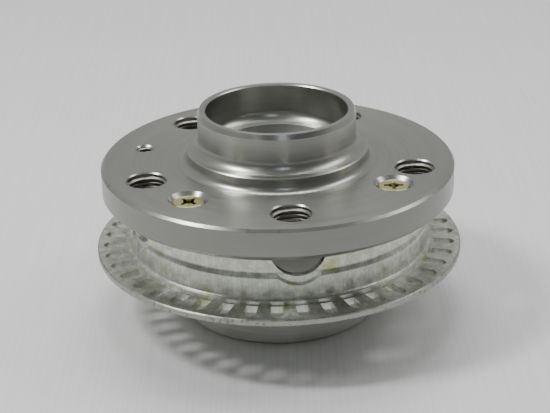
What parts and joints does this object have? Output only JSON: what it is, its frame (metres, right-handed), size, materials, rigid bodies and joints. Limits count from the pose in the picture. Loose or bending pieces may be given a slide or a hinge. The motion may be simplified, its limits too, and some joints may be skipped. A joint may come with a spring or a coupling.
{
  "type": "wheel hub with bearing",
  "caption": "Driven wheel hub: flange with pilot and bolt holes, slotted tone ring on its back and a double-row ball bearing on its journal.",
  "frame": {"origin": "centre of the wheel flange's front face, where the wheel's axis crosses the plane that the brake disc bolts against", "axes": "+Z along the wheel's axis, out of the car; -Y is the side seen in front, between the two lower wheel-bolt holes and the tone ring's front arch"},
  "size_m": [0.1338, 0.1338, 0.0768],
  "materials": {
    "hub": "forged and turned, satin",
    "zinc_sheet": "zinc plated, satin",
    "yellow_zinc": "yellow zinc plated steel",
    "bearing_steel": "ground",
    "ball_steel": "lapped",
    "cage_polymer": "glass-filled nylon",
    "seal_steel": "pressed sheet",
    "seal_rubber": "moulded"
  },
  "bodies": {
    "bearing_housing_side": {"bearing_outer_ring": "bearing_steel", "seal_case_outboard": "seal_steel", "seal_case_inboard": "seal_steel", "seal_lip_outboard": "seal_rubber", "seal_lip_inboard": "seal_rubber"},
    "hub_assembly": {"hub": "hub", "hub_journal": "hub", "tone_ring": "zinc_sheet", "ring_screws": "yellow_zinc", "inner_ring_outboard": "bearing_steel", "inner_ring_inboard": "bearing_steel", "flinger_outboard": "seal_steel", "flinger_inboard": "seal_steel"},
    "ball_row_outboard": {"cage_outboard": "cage_polymer", "ball_outboard_01": "ball_steel", "ball_outboard_02": "ball_steel", "ball_outboard_03": "ball_steel", "ball_outboard_04": "ball_steel", "ball_outboard_05": "ball_steel", "ball_outboard_06": "ball_steel", "ball_outboard_07": "ball_steel", "ball_outboard_08": "ball_steel", "ball_outboard_09": "ball_steel", "ball_outboard_10": "ball_steel", "ball_outboard_11": "ball_steel", "ball_outboard_12": "ball_steel", "ball_outboard_13": "ball_steel"},
    "ball_row_inboard": {"cage_inboard": "cage_polymer", "ball_inboard_01": "ball_steel", "ball_inboard_02": "ball_steel", "ball_inboard_03": "ball_steel", "ball_inboard_04": "ball_steel", "ball_inboard_05": "ball_steel", "ball_inboard_06": "ball_steel", "ball_inboard_07": "ball_steel", "ball_inboard_08": "ball_steel", "ball_inboard_09": "ball_steel", "ball_inboard_10": "ball_steel", "ball_inboard_11": "ball_steel", "ball_inboard_12": "ball_steel", "ball_inboard_13": "ball_steel"}
  },
  "joints": [
    {"name": "hub_spin", "type": "hinge", "parent": "bearing_housing_side", "child": "hub_assembly", "pos_m": [0, 0, -0.0392], "axis": [0, 0, 1], "continuous": true},
    {"name": "row_outboard_spin", "type": "hinge", "parent": "bearing_housing_side", "child": "ball_row_outboard", "pos_m": [0, 0, -0.0316], "axis": [0, 0, 1], "continuous": true},
    {"name": "row_inboard_spin", "type": "hinge", "parent": "bearing_housing_side", "child": "ball_row_inboard", "pos_m": [0, 0, -0.0468], "axis": [0, 0, 1], "continuous": true}
  ],
  "couplings": [
    {"joint": "row_outboard_spin", "follows": "hub_spin", "ratio": 0.418},
    {"joint": "row_inboard_spin", "follows": "hub_spin", "ratio": 0.418}
  ]
}
